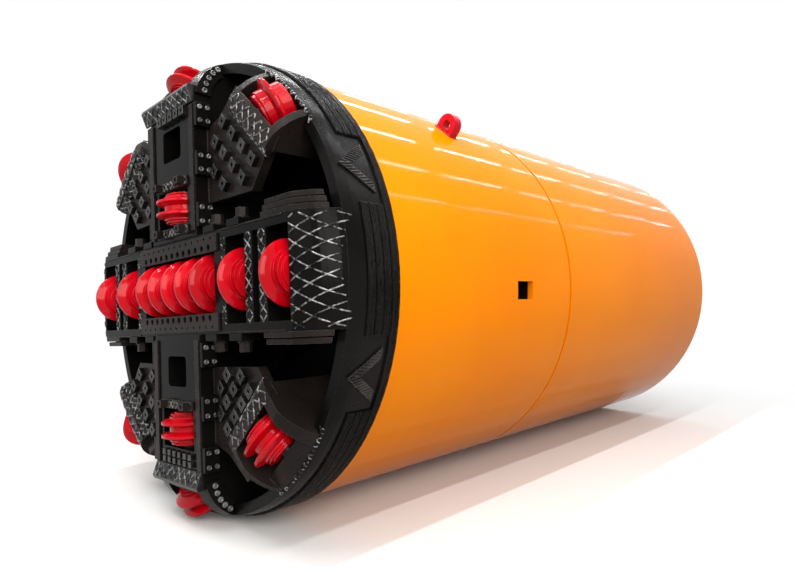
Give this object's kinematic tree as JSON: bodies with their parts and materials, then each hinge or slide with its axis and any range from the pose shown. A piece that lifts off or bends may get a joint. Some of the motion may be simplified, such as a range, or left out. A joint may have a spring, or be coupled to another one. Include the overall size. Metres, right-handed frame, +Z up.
{
  "type": "pipe-jacking tunnel boring machine",
  "caption": "Tunnel boring machine with a black rock cutterhead of red disc cutters on a hinged two-section yellow steel shield.",
  "frame": {"origin": "on the machine axis at the mouth of the tail socket", "axes": "+Y along the axis towards the tail, +Z up, cutting face towards -Y"},
  "size_m": [2.9264, 5.537, 3.0452],
  "materials": {
    "shield_yellow": "gloss",
    "head_black": "gloss",
    "bare_steel": "satin",
    "cutter_red": "gloss",
    "lug_red": "gloss",
    "inner_grey": "semi-gloss"
  },
  "bodies": {
    "rear_shield": {"rear_skin": "shield_yellow", "jacking_ring": "inner_grey", "rear_spigot": "inner_grey", "steering_barrels": "inner_grey", "rear_lug": "lug_red", "walkway": "inner_grey", "cabinets": "inner_grey"},
    "articulation_ring": {"seal_ring": "inner_grey"},
    "front_shield": {"front_skin": "shield_yellow", "front_lugs": "lug_red", "bulkhead": "inner_grey", "crusher_cone": "head_black", "main_drive": "inner_grey", "drive_motors": "inner_grey", "slurry_pipes": "inner_grey", "steering_rods": "bare_steel", "side_pockets": "head_black"},
    "cutterhead": {"head_hub": "head_black", "head_rim": "head_black", "rim_bars": "bare_steel", "centre_box": "head_black", "centre_plates": "head_black", "arm_right": "head_black", "arm_left": "head_black", "arm_top": "head_black", "arm_bottom": "head_black", "corner_ur": "head_black", "corner_ul": "head_black", "corner_ll": "head_black", "corner_lr": "head_black", "wear_studs": "bare_steel", "hard_bars": "bare_steel", "side_blocks": "head_black", "edge_ribs": "head_black", "edge_bolts": "head_black", "cheek_plates": "head_black", "face_strips": "head_black", "arm_beams": "bare_steel", "arm_teeth": "bare_steel", "rim_chevrons": "bare_steel", "centre_axle": "bare_steel", "spoke_axles": "bare_steel", "gauge_axles": "bare_steel"},
    "disc_c1": {"disc_c1": "cutter_red"},
    "disc_c2": {"disc_c2": "cutter_red"},
    "disc_c3": {"disc_c3": "cutter_red"},
    "disc_c4": {"disc_c4": "cutter_red"},
    "disc_c5": {"disc_c5": "cutter_red"},
    "disc_r1": {"disc_r1": "cutter_red"},
    "disc_r2": {"disc_r2": "cutter_red"},
    "disc_l1": {"disc_l1": "cutter_red"},
    "disc_l2": {"disc_l2": "cutter_red"},
    "twin_top": {"twin_top": "cutter_red"},
    "twin_bottom": {"twin_bottom": "cutter_red"},
    "gauge_top": {"gauge_top": "cutter_red"},
    "gauge_bottom": {"gauge_bottom": "cutter_red"},
    "gauge_ur": {"gauge_ur": "cutter_red"},
    "gauge_ul": {"gauge_ul": "cutter_red"},
    "gauge_ll": {"gauge_ll": "cutter_red"},
    "gauge_lr": {"gauge_lr": "cutter_red"}
  },
  "joints": [
    {"name": "steer_yaw", "type": "hinge", "parent": "rear_shield", "child": "articulation_ring", "pos_m": [0, -3.041, 0], "axis": [0, 0, 1], "range_deg": [-0.65, 0.65]},
    {"name": "steer_pitch", "type": "hinge", "parent": "articulation_ring", "child": "front_shield", "pos_m": [0, -3.041, 0], "axis": [1, 0, 0], "range_deg": [-0.65, 0.65]},
    {"name": "head_spin", "type": "hinge", "parent": "front_shield", "child": "cutterhead", "pos_m": [0, -4.894, 0], "axis": [0, -1, 0], "continuous": true},
    {"name": "disc_c1_spin", "type": "hinge", "parent": "cutterhead", "child": "disc_c1", "pos_m": [-0.37422, -5.359, -0.0242], "axis": [0.9979, 0, 0.0645], "continuous": true},
    {"name": "disc_c2_spin", "type": "hinge", "parent": "cutterhead", "child": "disc_c2", "pos_m": [-0.18711, -5.359, -0.0121], "axis": [0.9979, 0, 0.0645], "continuous": true},
    {"name": "disc_c3_spin", "type": "hinge", "parent": "cutterhead", "child": "disc_c3", "pos_m": [0, -5.359, 0], "axis": [0.9979, 0, 0.0645], "continuous": true},
    {"name": "disc_c4_spin", "type": "hinge", "parent": "cutterhead", "child": "disc_c4", "pos_m": [0.18711, -5.359, 0.0121], "axis": [0.9979, 0, 0.0645], "continuous": true},
    {"name": "disc_c5_spin", "type": "hinge", "parent": "cutterhead", "child": "disc_c5", "pos_m": [0.37422, -5.359, 0.0242], "axis": [0.9979, 0, 0.0645], "continuous": true},
    {"name": "disc_r1_spin", "type": "hinge", "parent": "cutterhead", "child": "disc_r1", "pos_m": [0.69852, -5.359, 0.04517], "axis": [0.9979, 0, 0.0645], "continuous": true},
    {"name": "disc_r2_spin", "type": "hinge", "parent": "cutterhead", "child": "disc_r2", "pos_m": [1.10264, -5.359, 0.0713], "axis": [0.9979, 0, 0.0645], "continuous": true},
    {"name": "disc_l1_spin", "type": "hinge", "parent": "cutterhead", "child": "disc_l1", "pos_m": [-0.69852, -5.359, -0.04517], "axis": [0.9979, 0, 0.0645], "continuous": true},
    {"name": "disc_l2_spin", "type": "hinge", "parent": "cutterhead", "child": "disc_l2", "pos_m": [-1.10264, -5.359, -0.0713], "axis": [0.9979, 0, 0.0645], "continuous": true},
    {"name": "twin_top_spin", "type": "hinge", "parent": "cutterhead", "child": "twin_top", "pos_m": [-0.03259, -5.359, 0.50395], "axis": [-0.0645, 0, 0.9979], "continuous": true},
    {"name": "twin_bottom_spin", "type": "hinge", "parent": "cutterhead", "child": "twin_bottom", "pos_m": [0.05679, -5.359, -0.87817], "axis": [-0.0645, 0, 0.9979], "continuous": true},
    {"name": "gauge_top_spin", "type": "hinge", "parent": "cutterhead", "child": "gauge_top", "pos_m": [-0.08389, -5.279, 1.29729], "axis": [-0.0509, 0.6157, 0.7864], "continuous": true},
    {"name": "gauge_bottom_spin", "type": "hinge", "parent": "cutterhead", "child": "gauge_bottom", "pos_m": [0.08292, -5.279, -1.28232], "axis": [0.0509, 0.6157, -0.7864], "continuous": true},
    {"name": "gauge_ur_spin", "type": "hinge", "parent": "cutterhead", "child": "gauge_ur", "pos_m": [0.84083, -5.272, 0.99147], "axis": [0.4328, 0.7431, 0.5103], "continuous": true},
    {"name": "gauge_ul_spin", "type": "hinge", "parent": "cutterhead", "child": "gauge_ul", "pos_m": [-0.96152, -5.272, 0.87492], "axis": [-0.4949, 0.7431, 0.4503], "continuous": true},
    {"name": "gauge_ll_spin", "type": "hinge", "parent": "cutterhead", "child": "gauge_ll", "pos_m": [-0.84083, -5.272, -0.99147], "axis": [-0.4328, 0.7431, -0.5103], "continuous": true},
    {"name": "gauge_lr_spin", "type": "hinge", "parent": "cutterhead", "child": "gauge_lr", "pos_m": [0.86969, -5.286, -0.81955], "axis": [0.6748, 0.3746, -0.6359], "continuous": true}
  ]
}
